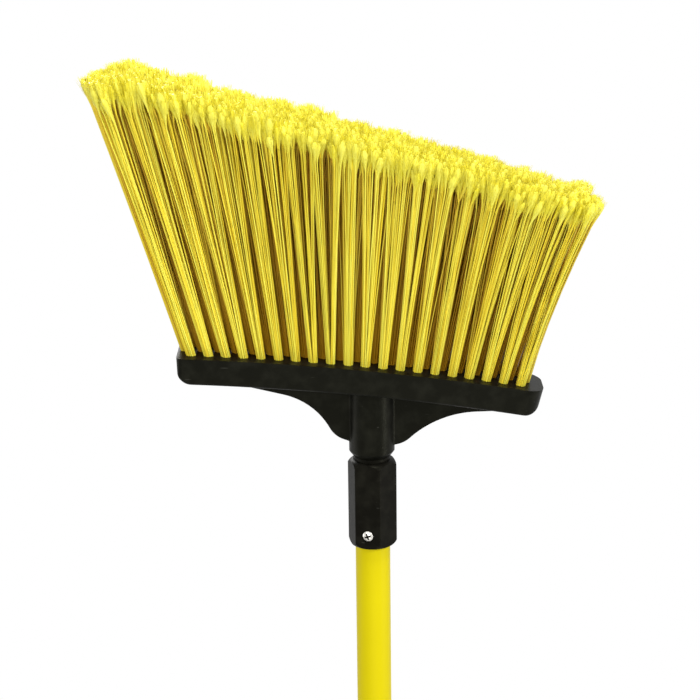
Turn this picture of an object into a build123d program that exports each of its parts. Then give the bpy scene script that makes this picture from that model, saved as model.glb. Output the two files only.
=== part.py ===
from build123d import *
import math
import os

# Angle broom, in millimetres and degrees. Z is the handle axis, with the bristles up and the front facing -Y.
# The origin is on the axis at the grip, where a wall clip holds the tube.

# Handle tube, with its seated end sized down to enter the ferrule
TUBE_DIAMETER = 22.2
TUBE_WALL = 0.9
TUBE_LENGTH = 1219.0
TUBE_SIZING = 0.25
GRIP_BELOW_FERRULE = 300.0

# Hexagonal ferrule, which holds the tube below and screws into the block above
HEX_FLATS = 27.7
HEX_TURN = 13.6
HEX_CORNER_RADIUS = 1.5
HEX_LENGTH = 57.4
HEX_TOP_ROUND = 5.0
HEX_TOP_DIAMETER = 24.4
HEX_FOOT_ROUND = 4.8
HEX_FOOT_DIAMETER = 25.4
BOSS_DIAMETER = 22.6
BOSS_HEIGHT = 2.3
TUBE_SEAT_DEPTH = 42.0
TUBE_FIT = 0.1
CORE_FIT = 0.3
CORE_RECESS = 2.0
TIP_DIAMETER = 19.0
TIP_LENGTH = 28.0
TIP_BEVEL = 1.5

# Pan-head screw, set in a shallow recess in the ferrule's front flat
SCREW_RISE = 9.5
SCREW_RECESS_DIAMETER = 8.4
SCREW_RECESS_DEPTH = 0.7
SCREW_HEAD_DIAMETER = 6.6
SCREW_HEAD_HEIGHT = 2.1
SCREW_RIM_HEIGHT = 0.8
SCREW_SHANK_DIAMETER = 3.9
SCREW_LENGTH = 12.0
SCREW_POINT = 2.5
SCREW_FIT = 0.1
CROSS_LENGTH = 4.2
CROSS_WIDTH = 1.1
CROSS_DEPTH = 1.5
CROSS_TURN = 20.0

# Hang cap in the tube's far end
CAP_PLUG_LENGTH = 22.0
CAP_FLANGE = 4.0
CAP_FIT = 0.1
CAP_SET_IN = 0.2
CAP_TAB_WIDTH = 19.0
CAP_TAB_THICKNESS = 8.0
CAP_TAB_DROP = 15.0
CAP_TAB_BEVEL = 1.2
HANG_HOLE_DIAMETER = 9.5

# Bar of the broom block, tilted on the handle and slightly crowned towards the bristles
BAR_LENGTH = 228.6
BAR_DEPTH = 39.0
BAR_THICKNESS = 17.4
BAR_TILT = 6.4
BAR_SHIFT = -6.0
BAR_CROWN_RADIUS = 1700.0
BAR_LEFT_CORNER_RADIUS = 4.5
BAR_RIGHT_CORNER_RADIUS = 13.0
BAR_END_RADIUS = 9.0
BAR_END_SPARE = 0.1
BAR_DRAFT = 8.0
BAR_EDGE_ROUND = 2.0
BAR_RISE = 61.9

# Socket and webs of the broom block
SOCKET_DIAMETER = 28.8
SOCKET_MOUTH_DIAMETER = 23.6
SOCKET_MOUTH_BEVEL = 3.6
SOCKET_BORE_SPARE = 3.0
THREAD_CLEARANCE = 0.1
SEAT_GAP = 0.2
WEB_THICKNESS = 9.0
WEB_LEDGE_ROUND = 16.0
WEB_ROOT_RADIUS = 3.0

# Free edges of the webs, as distances from the handle axis and drops below the bar
WEB_REACH = 96.0
WEB_LEFT_WAIST = (55.0, 7.2)
WEB_LEFT_LEDGE = (24.0, 32.2)
WEB_RIGHT_WAIST = (66.0, 5.6)
WEB_RIGHT_LEDGE = (20.5, 32.3)
WEB_ROOT_DROP = 38.0

# Tufts: rows front to rear, each given as a name, its tuft count, its tuft pitch and its place in row pitches
OUTER_TUFT_COUNT = 20
OUTER_TUFT_PITCH = 10.8
MIDDLE_TUFT_COUNT = 21
MIDDLE_TUFT_PITCH = 10.65
ROWS = (
    ("front", OUTER_TUFT_COUNT, OUTER_TUFT_PITCH, -1),
    ("middle", MIDDLE_TUFT_COUNT, MIDDLE_TUFT_PITCH, 0),
    ("rear", OUTER_TUFT_COUNT, OUTER_TUFT_PITCH, 1),
)
TUFT_SHIFT = -3.0
ROW_PITCH = 10.0
HOLE_DIAMETER = 5.4
HOLE_DEPTH = 12.0
HOLE_SIDES = 12
FAN_RATE = 0.166
FAN_LEAN = 2.0
ROW_LEAN = 5.0

# Trim of the tips: planes that each pass a point beside and above the bar's crown and fall to the right
TRIM_MAIN = (0.0, 146.0, 16.0)
TRIM_HEEL = (-165.5, 176.5, -25.0)
TRIM_TOE = (150.0, 98.0, 43.0)

# One tuft: a packed root, and strands that spread from it to the trim planes
ROOT_FIT = 0.1
ROOT_FLOOR_GAP = 0.2
ROOT_RISE = 1.5
ROOT_SIDES = 6
RING_STRANDS = 6
RING_RADIUS = 1.65
STRAND_WIDTH = 1.0
STRAND_GROWTH = 0.008
STRAND_SINK = 0.5
SPREAD_ALONG = 1.9
SPREAD_ACROSS = 2.6

# Flat-wire staple through the fold of each tuft
STAPLE_HEIGHT = 2.0
STAPLE_WIRE = 0.4
STAPLE_LIFT = 1.2
STAPLE_FIT = 0.05

# Heights on the handle axis
TUBE_RADIUS = TUBE_DIAMETER / 2
TUBE_BORE_RADIUS = TUBE_RADIUS - TUBE_WALL
TUBE_END_RADIUS = TUBE_RADIUS - TUBE_SIZING
FERRULE_FOOT_Z = GRIP_BELOW_FERRULE
HEX_TOP_Z = FERRULE_FOOT_Z + HEX_LENGTH
BOSS_TOP_Z = HEX_TOP_Z + BOSS_HEIGHT
TUBE_TOP_Z = FERRULE_FOOT_Z + TUBE_SEAT_DEPTH
TUBE_FOOT_Z = TUBE_TOP_Z - TUBE_LENGTH
SOCKET_MOUTH_Z = BOSS_TOP_Z + SEAT_GAP
BAR_TOP_Z = SOCKET_MOUTH_Z + BAR_RISE

# The bar's own frame: origin on its crown, X along it and Z square to it
bar_frame = Location((BAR_SHIFT, 0, BAR_TOP_Z), (0, BAR_TILT, 0))

# The screw's own frame: origin where its head seats in the front flat's recess, Z pointing out of the ferrule
screw_out = Vector(0, -1, 0).rotate(Axis.Z, -HEX_TURN)
screw_seat = screw_out * (HEX_FLATS / 2 - SCREW_RECESS_DEPTH) + Vector(0, 0, FERRULE_FOOT_Z + SCREW_RISE)
screw_frame = Plane(screw_seat, x_dir=(0, 0, 1), z_dir=screw_out)


def rod(radius, low, high):
    """A round bar on the handle axis between two heights."""
    return Pos(0, 0, low) * Cylinder(radius, high - low, align=(Align.CENTER, Align.CENTER, Align.MIN))


def turned(outline):
    """The solid that a closed outline of radius and height sweeps round the Z axis."""
    return revolve(Plane.XZ * make_face(outline), Axis.Z)


def crown_drop(along, below=0.0):
    """How far a surface concentric with the bar's crown has fallen, at a distance along the bar."""
    radius = BAR_CROWN_RADIUS - below
    return below + radius - math.sqrt(radius**2 - along**2)


def make_tube():
    tube = rod(TUBE_RADIUS, TUBE_FOOT_Z, FERRULE_FOOT_Z) + rod(TUBE_END_RADIUS, FERRULE_FOOT_Z, TUBE_TOP_Z)
    return tube - rod(TUBE_BORE_RADIUS, TUBE_FOOT_Z, TUBE_TOP_Z) - screw_hole()


def screw_hole():
    """Clearance for the screw's shank to just past its point, and the recess round its head."""
    depth = SCREW_LENGTH + SCREW_FIT
    radius = SCREW_SHANK_DIAMETER / 2 + SCREW_FIT
    shank = Cylinder(radius, depth, align=(Align.CENTER, Align.CENTER, Align.MAX))
    recess = Cylinder(SCREW_RECESS_DIAMETER / 2, HEX_FLATS / 2, align=(Align.CENTER, Align.CENTER, Align.MIN))
    return screw_frame * (shank + recess)


def make_ferrule():
    corner = HEX_FLATS / 2 / math.cos(math.pi / 6)
    hexagon = RegularPolygon(HEX_FLATS / 2, 6, major_radius=False, rotation=-HEX_TURN)
    hexagon = fillet(hexagon.vertices(), HEX_CORNER_RADIUS)
    prism = Pos(0, 0, FERRULE_FOOT_Z) * extrude(hexagon, HEX_LENGTH)
    foot = (HEX_FOOT_DIAMETER / 2, FERRULE_FOOT_Z)
    shoulder = (corner, FERRULE_FOOT_Z + HEX_FOOT_ROUND)
    bend = (corner, HEX_TOP_Z - HEX_TOP_ROUND)
    top = (HEX_TOP_DIAMETER / 2, HEX_TOP_Z)
    envelope = turned(
        [
            Line((0, FERRULE_FOOT_Z), foot),
            TangentArc(shoulder, foot, tangent=(0, -1)),
            Line(shoulder, bend),
            TangentArc(bend, top, tangent=(0, 1)),
            Polyline(top, (0, HEX_TOP_Z), (0, FERRULE_FOOT_Z)),
        ]
    )
    seat_radius = TUBE_END_RADIUS + TUBE_FIT
    core_radius = TUBE_BORE_RADIUS - CORE_FIT
    slot_top = TUBE_TOP_Z + TUBE_FIT
    core_foot = FERRULE_FOOT_Z + CORE_RECESS
    tube_slot = rod(seat_radius, FERRULE_FOOT_Z, slot_top) - rod(core_radius, core_foot, slot_top)
    tip = rod(TIP_DIAMETER / 2, BOSS_TOP_Z, BOSS_TOP_Z + TIP_LENGTH)
    tip = chamfer(tip.edges().sort_by(Axis.Z)[-1], TIP_BEVEL)
    boss = rod(BOSS_DIAMETER / 2, HEX_TOP_Z, BOSS_TOP_Z)
    return (prism & envelope) - tube_slot + boss + tip - screw_hole()


def make_screw():
    head = SCREW_HEAD_DIAMETER / 2
    shank = SCREW_SHANK_DIAMETER / 2
    point = (0, -SCREW_LENGTH)
    rim = (head, SCREW_RIM_HEIGHT)
    crest = (0, SCREW_HEAD_HEIGHT)
    screw = turned(
        [
            Polyline(crest, point, (shank, SCREW_POINT - SCREW_LENGTH), (shank, 0), (head, 0), rim),
            TangentArc(crest, rim, tangent=(1, 0)),
        ]
    )
    slot = Box(CROSS_LENGTH, CROSS_WIDTH, 2 * CROSS_DEPTH)
    cross = Pos(0, 0, SCREW_HEAD_HEIGHT) * Rot(0, 0, CROSS_TURN) * (slot + Rot(0, 0, 90) * slot)
    return screw_frame * (screw - cross)


def make_hang_cap():
    plug = rod(TUBE_BORE_RADIUS - CAP_FIT, TUBE_FOOT_Z, TUBE_FOOT_Z + CAP_PLUG_LENGTH)
    flange_foot = TUBE_FOOT_Z - CAP_FLANGE
    flange = rod(TUBE_RADIUS - CAP_SET_IN, flange_foot, TUBE_FOOT_Z)
    eye = Pos(0, -CAP_TAB_DROP)
    outline = Pos(0, -CAP_TAB_DROP / 2) * Rectangle(CAP_TAB_WIDTH, CAP_TAB_DROP)
    outline += eye * Circle(CAP_TAB_WIDTH / 2)
    tab = extrude(Plane.XZ * outline, CAP_TAB_THICKNESS / 2, both=True)
    tab = chamfer(tab.edges().filter_by(GeomType.CIRCLE), CAP_TAB_BEVEL)
    hole = extrude(Plane.XZ * eye * Circle(HANG_HOLE_DIAMETER / 2), CAP_TAB_THICKNESS, both=True)
    return plug + flange + Pos(0, 0, flange_foot) * (tab - hole)


def make_bar():
    """The crowned bar in its own frame: a side outline and a drafted plan, each cut by the other."""
    half = BAR_LENGTH / 2
    ends = crown_drop(half)
    floor = crown_drop(half, BAR_THICKNESS)
    slope = math.tan(math.radians(BAR_DRAFT))
    reach = half + BAR_END_SPARE
    floor_reach = reach - (floor - ends) * slope
    side = make_face(
        [
            ThreePointArc((-reach, -ends), (0, 0), (reach, -ends)),
            Line((reach, -ends), (floor_reach, -floor)),
            ThreePointArc((floor_reach, -floor), (0, -BAR_THICKNESS), (-floor_reach, -floor)),
            Line((-floor_reach, -floor), (-reach, -ends)),
        ]
    )
    side = fillet(side.vertices().sort_by(Axis.Y)[:2], BAR_END_RADIUS)
    slab = extrude(Plane.XZ * side, BAR_DEPTH, both=True)
    flare = 2 * ends * slope
    plan = Rectangle(BAR_LENGTH + flare, BAR_DEPTH + flare)
    plan = fillet(plan.vertices().group_by(Axis.X)[0], BAR_LEFT_CORNER_RADIUS)
    plan = fillet(plan.vertices().group_by(Axis.X)[-1], BAR_RIGHT_CORNER_RADIUS)
    bar = slab & extrude(plan, -floor, taper=BAR_DRAFT)
    underside = bar.faces().sort_by(Axis.Z)[:3]
    rims = [edge for edge in underside.edges() if abs((edge @ 0.5).Y) > BAR_DEPTH / 4]
    return fillet(rims, BAR_EDGE_ROUND)


def under_bar(reach, drop):
    """X and Z of a point straight below the bar's underside, at a distance from the handle axis."""
    tilt = math.radians(BAR_TILT)
    along = (reach + BAR_THICKNESS * math.sin(tilt) - BAR_SHIFT) / math.cos(tilt)
    point = bar_frame * Pos(along, 0, -crown_drop(along, BAR_THICKNESS))
    return point.position.X, point.position.Z - drop


def web_edge(side, waist, ledge):
    """A web's free edge: straight from the bar to the waist, curving down to a ledge, then in to the axis."""
    run = Line(under_bar(side * WEB_REACH, 0), under_bar(side * waist[0], waist[1]))
    curve = TangentArc(run @ 1, under_bar(side * ledge[0], ledge[1]), tangent=run % 1)
    return [run, curve, Line(curve @ 1, under_bar(0, WEB_ROOT_DROP))]


def make_webs():
    """Two gusset plates in the handle's middle plane, with rounded roots along the socket."""
    left = web_edge(-1, WEB_LEFT_WAIST, WEB_LEFT_LEDGE)
    right = web_edge(1, WEB_RIGHT_WAIST, WEB_RIGHT_LEDGE)
    inside_bar = [under_bar(reach, -BAR_THICKNESS / 2) for reach in (-WEB_REACH, WEB_REACH)]
    side = make_face(left + right + [Polyline(left[0] @ 0, *inside_bar, right[0] @ 0)])
    side = fillet(side.vertices().sort_by(Axis.Y)[1:3], WEB_LEDGE_ROUND)
    plate = extrude(Plane.XZ * side, SOCKET_DIAMETER / 2, both=True)
    plan = Circle(SOCKET_DIAMETER / 2) + Rectangle(2 * WEB_REACH, WEB_THICKNESS)
    roots = [corner for corner in plan.vertices() if abs(corner.X) < SOCKET_DIAMETER / 2]
    plan = fillet(roots, WEB_ROOT_RADIUS)
    return plate & Pos(0, 0, SOCKET_MOUTH_Z) * extrude(plan, 2 * BAR_RISE)


def make_block():
    socket_radius = SOCKET_DIAMETER / 2
    socket_top = under_bar(0, -BAR_THICKNESS / 2)[1]
    socket = turned(
        Polyline(
            (0, SOCKET_MOUTH_Z),
            (SOCKET_MOUTH_DIAMETER / 2, SOCKET_MOUTH_Z),
            (socket_radius, SOCKET_MOUTH_Z + SOCKET_MOUTH_BEVEL),
            (socket_radius, socket_top),
            (0, socket_top),
            close=True,
        )
    )
    bore_top = BOSS_TOP_Z + TIP_LENGTH + SOCKET_BORE_SPARE
    bore = rod(TIP_DIAMETER / 2 + THREAD_CLEARANCE, SOCKET_MOUTH_Z, bore_top)
    block = bar_frame * make_bar() + make_webs() + socket
    holes = [tuft_hole(frame) for row in ROWS for frame in tuft_frames(*row[1:])]
    return block - bore - holes


def tuft_frames(count, pitch, place):
    """One frame for each tuft of a row: origin where it leaves the bar, Z up the tuft, X along the bar."""
    frames = []
    for index in range(count):
        along = TUFT_SHIFT + (index - (count - 1) / 2) * pitch
        foot = bar_frame * Pos(along, place * ROW_PITCH, -crown_drop(along))
        lean = math.radians(FAN_LEAN + FAN_RATE * (along - TUFT_SHIFT))
        across = math.radians(place * ROW_LEAN)
        up = Vector(math.tan(lean), math.tan(across), 1)
        frames.append(Plane(foot.position, x_dir=(1, 0, 0), z_dir=up))
    return frames


def tuft_hole(frame):
    """A blind hole of few sides, since its tuft fills it and hides its wall."""
    hole = extrude(RegularPolygon(HOLE_DIAMETER / 2, HOLE_SIDES), HOLE_DEPTH + HOLE_DIAMETER)
    return frame * Pos(0, 0, -HOLE_DEPTH) * hole


def trimmed(foot, direction):
    """Where a straight strand edge that starts at foot first meets a trim plane."""
    lengths = []
    for beside, above, fall in (TRIM_MAIN, TRIM_HEEL, TRIM_TOE):
        slope = math.radians(fall)
        square = Vector(math.sin(slope), 0, math.cos(slope))
        on_plane = Vector(BAR_SHIFT + beside, 0, BAR_TOP_Z + above)
        lengths.append((on_plane - foot).dot(square) / direction.dot(square))
    return foot + direction * min(lengths)


def make_strand(frame, ring_x, ring_y):
    """A four-sided strand from the tuft's root to the trim; ring_x and ring_y place it in the tuft."""
    corners = []
    for side_x, side_y in ((-1, -1), (1, -1), (1, 1), (-1, 1)):
        foot = frame.from_local_coords(
            Vector(
                ring_x * RING_RADIUS + side_x * STRAND_WIDTH / 2,
                ring_y * RING_RADIUS + side_y * STRAND_WIDTH / 2,
                ROOT_RISE - STRAND_SINK,
            )
        )
        run_x = ring_x * math.tan(math.radians(SPREAD_ALONG)) + side_x * STRAND_GROWTH / 2
        run_y = ring_y * math.tan(math.radians(SPREAD_ACROSS)) + side_y * STRAND_GROWTH / 2
        direction = frame.x_dir * run_x + frame.y_dir * run_y + frame.z_dir
        corners += [foot, trimmed(foot, direction)]
    return ConvexPolyhedron(corners)


def staple_box(frame, width, spare):
    """A flat staple across a tuft's root, larger by spare all round where it is the slot for one."""
    low = STAPLE_LIFT + ROOT_FLOOR_GAP - HOLE_DEPTH
    wire = Box(
        width,
        STAPLE_WIRE + 2 * spare,
        STAPLE_HEIGHT + 2 * spare,
        align=(Align.CENTER, Align.CENTER, Align.MIN),
    )
    return frame * Pos(0, 0, low - spare) * wire


def make_tuft(frame):
    """A packed root in its hole, slotted for its staple, with strands that fan out of it in one fuse."""
    root_foot = ROOT_FLOOR_GAP - HOLE_DEPTH
    packed = RegularPolygon(HOLE_DIAMETER / 2 - ROOT_FIT, ROOT_SIDES)
    root = frame * Pos(0, 0, root_foot) * extrude(packed, ROOT_RISE - root_foot)
    root -= staple_box(frame, 2 * HOLE_DIAMETER, STAPLE_FIT)
    strands = [make_strand(frame, 0, 0)]
    for index in range(RING_STRANDS):
        angle = 2 * math.pi * index / RING_STRANDS
        strands.append(make_strand(frame, math.cos(angle), math.sin(angle)))
    return (root + strands).solid()


def make_staple(frame):
    return staple_box(frame, HOLE_DIAMETER - 2 * STAPLE_FIT, 0).solid()


os.makedirs("parts", exist_ok=True)
nodes = {
    "handle_tube": make_tube(),
    "ferrule": make_ferrule(),
    "ferrule_screw": make_screw(),
    "hang_cap": make_hang_cap(),
    "broom_block": make_block(),
}
for row, *layout in ROWS:
    frames = tuft_frames(*layout)
    nodes[f"bristles_{row}_row"] = Compound([make_tuft(frame) for frame in frames])
    nodes[f"staples_{row}_row"] = Compound([make_staple(frame) for frame in frames])
for name, solid in nodes.items():
    export_step(solid, f"parts/{name}.step")
    print(name, len(solid.solids()), "solids", round(solid.volume), "mm3")
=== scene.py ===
# %% [markdown]
# # Angle broom
# An angle broom stands bristles up: a long yellow steel tube, a black hexagonal ferrule, a black
# moulded block and a fan of yellow bristles with split tips, cut on a slope so that one end reaches
# into corners. The rigid pieces come from a CAD model, which fixes every size and place in metres.
# This lesson gives those pieces their materials, grows bristles where the model has only a few
# stout strands, and lights the broom as a product photograph does.

# %% Load the CAD model
import math

import bpy
from mathutils import Matrix, Vector


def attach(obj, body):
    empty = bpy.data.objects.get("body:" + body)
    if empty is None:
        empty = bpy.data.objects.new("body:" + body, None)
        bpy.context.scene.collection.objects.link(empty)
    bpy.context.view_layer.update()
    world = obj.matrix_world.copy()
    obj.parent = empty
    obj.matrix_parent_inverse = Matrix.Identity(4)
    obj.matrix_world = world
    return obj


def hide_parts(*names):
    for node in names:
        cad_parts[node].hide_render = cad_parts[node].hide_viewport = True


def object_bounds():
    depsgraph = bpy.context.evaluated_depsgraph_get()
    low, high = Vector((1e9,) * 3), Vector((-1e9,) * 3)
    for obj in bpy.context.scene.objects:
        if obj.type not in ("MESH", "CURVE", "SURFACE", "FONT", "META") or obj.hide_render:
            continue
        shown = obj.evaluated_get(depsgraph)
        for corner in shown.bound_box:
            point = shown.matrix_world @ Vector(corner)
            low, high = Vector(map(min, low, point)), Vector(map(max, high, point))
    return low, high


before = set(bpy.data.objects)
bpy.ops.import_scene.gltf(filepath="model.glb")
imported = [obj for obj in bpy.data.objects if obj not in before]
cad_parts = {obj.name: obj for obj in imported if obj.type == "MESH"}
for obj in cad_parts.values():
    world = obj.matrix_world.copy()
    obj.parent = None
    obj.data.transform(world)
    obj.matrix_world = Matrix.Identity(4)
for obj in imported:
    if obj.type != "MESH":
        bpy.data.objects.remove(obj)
cad_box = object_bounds()
scene = bpy.context.scene
print("nodes:", ", ".join(sorted(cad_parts)))

# %% [markdown]
# ## Camera
# The photograph was taken from a little above the broom, with a long lens, and the camera was not
# quite level. The tube's two edges give the lens and distance, and the bar's top face, seen at a
# low angle, gives the height. The handle axis is a little right of the middle of the picture.

# %% Place the camera
# The place is in metres, angles are in degrees, lens and sensor in millimetres
CAMERA_PLACE = (-0.01302, -1.18406, 0.79109)
CAMERA_DOWN = 17.0
CAMERA_ROLL = -0.77
CAMERA_LENS = 102.23
SENSOR_WIDTH = 36.0

camera = bpy.data.objects.new("camera", bpy.data.cameras.new("camera"))
scene.collection.objects.link(camera)
camera.data.lens = CAMERA_LENS
camera.data.sensor_width = SENSOR_WIDTH
camera.location = CAMERA_PLACE
pitch = Matrix.Rotation(math.radians(90 - CAMERA_DOWN), 3, "X")
roll = Matrix.Rotation(math.radians(CAMERA_ROLL), 3, "Z")
camera.rotation_euler = (pitch @ roll).to_euler()
scene.camera = camera
scene.view_settings.view_transform = "Standard"
print("camera at", tuple(camera.location), "lens", CAMERA_LENS, "mm")

# %% [markdown]
# ## Helpers for nodes
# Every material and the growing rule below are networks of nodes. One function adds a node and
# feeds its sockets from values or from other nodes, one turns a colour as it is written on screen
# into the linear light that shaders count in, and one starts a material.


# %% Define the helpers
def add(tree, kind, feeds=None, **settings):
    """Add a node; a feed is a plain value, an output socket, or a node whose first output is meant."""
    node = tree.nodes.new(kind)
    for name, value in settings.items():
        setattr(node, name, value)
    for socket, feed in (feeds or {}).items():
        if isinstance(feed, bpy.types.Node):
            feed = feed.outputs[0]
        if isinstance(feed, bpy.types.NodeSocket):
            tree.links.new(feed, node.inputs[socket])
        else:
            node.inputs[socket].default_value = feed
    return node


def colour(written):
    """Linear red, green, blue and alpha of an sRGB colour written as six hexadecimal digits."""
    channels = [int(written[i:i + 2], 16) / 255 for i in (0, 2, 4)]
    linear = [c / 12.92 if c <= 0.04045 else ((c + 0.055) / 1.055) ** 2.4 for c in channels]
    return (*linear, 1.0)


def new_material(name):
    """An empty material with a Principled surface; gives the material, its nodes and the surface."""
    material = bpy.data.materials.new(name)
    material.use_nodes = True
    tree = material.node_tree
    tree.nodes.clear()
    surface = add(tree, "ShaderNodeBsdfPrincipled")
    add(tree, "ShaderNodeOutputMaterial", {"Surface": surface})
    return material, tree, surface


# Blender counts in metres, and sizes below are written in millimetres
MM = 0.001

# Sockets of a Mix node for colours: its two colours, and the output that holds the result
MIX_FROM = 6
MIX_TO = 7
MIXED = 2
print("helpers ready")

# %% [markdown]
# ## Moulded polypropylene
# The block, the ferrule and the hang cap are black polypropylene from an injection mould whose
# steel was spark-eroded, which leaves a fine matt grain on the plastic. Handling adds faint grey
# rubs and a few scuffs along the bar. The grain is a bump, drawn coarser than the real one of about
# a tenth of a millimetre so that it shows at this distance. The rubs are patches of noise that lift
# the colour a little, and only the peaks of a stretched noise show as scuffs. Noise on the object's
# own coordinates fits every side and needs no unwrapping.

# %% Make the black plastic
GRAIN_SIZE = 0.8 * MM
GRAIN_DEPTH = 0.05 * MM
ROUGH_LEAST = 0.24
ROUGH_MOST = 0.5
SHINE_COLOUR = "FFFFDA"
RUB_SIZE = 9.0 * MM
SCUFF_RUN = 14.0 * MM
SCUFF_WIDTH = 1.2 * MM
SCUFF_COLOUR = "3A3A34"

# Values of the noise at which a rub or a scuff starts to show and is full
RUB_FROM = 0.45
RUB_FULL = 0.75
SCUFF_FROM = 0.76
SCUFF_FULL = 0.82


def make_polypropylene(name, base, worn, shine):
    """Grained black plastic, with its colour, its colour where it is rubbed, and how much it shines."""
    material, tree, surface = new_material(name)
    place = add(tree, "ShaderNodeTexCoord").outputs["Object"]
    grain = add(tree, "ShaderNodeTexNoise", {"Vector": place, "Scale": 1 / GRAIN_SIZE, "Detail": 3.0})
    rubs = add(tree, "ShaderNodeTexNoise", {"Vector": place, "Scale": 1 / RUB_SIZE, "Detail": 6.0})
    rubbed = add(
        tree, "ShaderNodeMapRange", {"Value": rubs, "From Min": RUB_FROM, "From Max": RUB_FULL}
    )
    shade = add(
        tree,
        "ShaderNodeMix",
        {"Factor": rubbed, MIX_FROM: colour(base), MIX_TO: colour(worn)},
        data_type="RGBA",
    )
    lengthwise = add(
        tree, "ShaderNodeMapping", {"Vector": place, "Scale": (SCUFF_WIDTH / SCUFF_RUN, 1.0, 1.0)}
    )
    scuffs = add(
        tree, "ShaderNodeTexNoise", {"Vector": lengthwise, "Scale": 1 / SCUFF_WIDTH, "Detail": 1.0}
    )
    scuffed = add(
        tree, "ShaderNodeMapRange", {"Value": scuffs, "From Min": SCUFF_FROM, "From Max": SCUFF_FULL}
    )
    marked = add(
        tree,
        "ShaderNodeMix",
        {"Factor": scuffed, MIX_FROM: shade.outputs[MIXED], MIX_TO: colour(SCUFF_COLOUR)},
        data_type="RGBA",
    )
    rough = add(
        tree, "ShaderNodeMapRange", {"Value": grain, "To Min": ROUGH_LEAST, "To Max": ROUGH_MOST}
    )
    relief = add(tree, "ShaderNodeBump", {"Height": grain, "Distance": GRAIN_DEPTH, "Strength": 0.6})
    tree.links.new(marked.outputs[MIXED], surface.inputs["Base Color"])
    tree.links.new(rough.outputs[0], surface.inputs["Roughness"])
    tree.links.new(relief.outputs[0], surface.inputs["Normal"])
    surface.inputs["Specular IOR Level"].default_value = shine
    surface.inputs["Specular Tint"].default_value = colour(SHINE_COLOUR)
    return material


block_plastic = make_polypropylene("polypropylene_block", base="0B0B08", worn="1A1A15", shine=0.07)
ferrule_plastic = make_polypropylene(
    "polypropylene_ferrule", base="0F0E0B", worn="1C1B16", shine=0.036
)
for node, plastic in (
    ("broom_block", block_plastic),
    ("ferrule", ferrule_plastic),
    ("hang_cap", ferrule_plastic),
):
    bpy.data.objects[node].material_slots[0].material = plastic
print("black plastic on block, ferrule and cap")

# %% [markdown]
# ## Powder-coated steel
# The handle is thin steel tube, coated with yellow powder that is melted on in an oven. The melt
# draws up into a faint orange peel, waves about 1.5 mm long, and the coat is a little thicker in
# some places than in others, which makes slow clouds in the yellow. The peel is too shallow to show
# in the outline, so it is a bump, and the clouds are a mix of two close yellows.

# %% Make the handle's coating
PEEL_SIZE = 1.5 * MM
PEEL_DEPTH = 0.02 * MM
CLOUD_SIZE = 40.0 * MM
COAT_LIGHT = "E1D004"
COAT_DARK = "D9C706"

handle_paint, tree, surface = new_material("powder_coated_steel")
place = add(tree, "ShaderNodeTexCoord").outputs["Object"]
peel = add(tree, "ShaderNodeTexNoise", {"Vector": place, "Scale": 1 / PEEL_SIZE, "Detail": 1.0})
clouds = add(tree, "ShaderNodeTexNoise", {"Vector": place, "Scale": 1 / CLOUD_SIZE, "Detail": 2.0})
yellow = add(
    tree,
    "ShaderNodeMix",
    {"Factor": clouds, MIX_FROM: colour(COAT_LIGHT), MIX_TO: colour(COAT_DARK)},
    data_type="RGBA",
)
relief = add(tree, "ShaderNodeBump", {"Height": peel, "Distance": PEEL_DEPTH, "Strength": 0.5})
tree.links.new(yellow.outputs[MIXED], surface.inputs["Base Color"])
tree.links.new(relief.outputs[0], surface.inputs["Normal"])
surface.inputs["Roughness"].default_value = 0.42
surface.inputs["Specular IOR Level"].default_value = 0.1
bpy.data.objects["handle_tube"].material_slots[0].material = handle_paint
print("powder coat on the tube")

# %% [markdown]
# ## Bare metals
# One cross-head screw holds the ferrule on the tube. Bright zinc plating leaves it silvery with a
# slightly cloudy shine. The staples that anchor the tufts are plain bright steel wire, drawn
# through a die, which leaves fine lines along it. Both differ from a mirror only in how rough they
# are from place to place, so one function makes both, with a noise in the roughness. The noise of
# the wire is stretched along it.

# %% Make the bare metals
PLATING_SIZE = 0.6 * MM
PLATING_STRETCH = (1.0, 1.0, 1.0)
DRAWN_SIZE = 0.2 * MM
DRAWN_STRETCH = (0.1, 1.0, 1.0)
ZINC_COLOUR = "CFCCC4"
WIRE_COLOUR = "A8A49C"


def make_steel(name, base, grain_size, stretch, rough_least, rough_most):
    """Bare metal whose roughness follows a noise; gives the material, its nodes and the surface."""
    material, tree, surface = new_material(name)
    place = add(tree, "ShaderNodeTexCoord").outputs["Object"]
    along = add(tree, "ShaderNodeMapping", {"Vector": place, "Scale": stretch})
    cloud = add(tree, "ShaderNodeTexNoise", {"Vector": along, "Scale": 1 / grain_size, "Detail": 3.0})
    rough = add(
        tree, "ShaderNodeMapRange", {"Value": cloud, "To Min": rough_least, "To Max": rough_most}
    )
    tree.links.new(rough.outputs[0], surface.inputs["Roughness"])
    surface.inputs["Base Color"].default_value = colour(base)
    surface.inputs["Metallic"].default_value = 1.0
    return material, tree, surface


screw_zinc, zinc_tree, zinc_surface = make_steel(
    "zinc_plated_steel",
    base=ZINC_COLOUR,
    grain_size=PLATING_SIZE,
    stretch=PLATING_STRETCH,
    rough_least=0.2,
    rough_most=0.4,
)
staple_wire = make_steel(
    "drawn_steel_wire",
    base=WIRE_COLOUR,
    grain_size=DRAWN_SIZE,
    stretch=DRAWN_STRETCH,
    rough_least=0.25,
    rough_most=0.45,
)[0]
bpy.data.objects["ferrule_screw"].material_slots[0].material = screw_zinc
for row in ("front", "middle", "rear"):
    bpy.data.objects[f"staples_{row}_row"].material_slots[0].material = staple_wire
print("zinc on the screw, steel on the staples")

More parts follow.
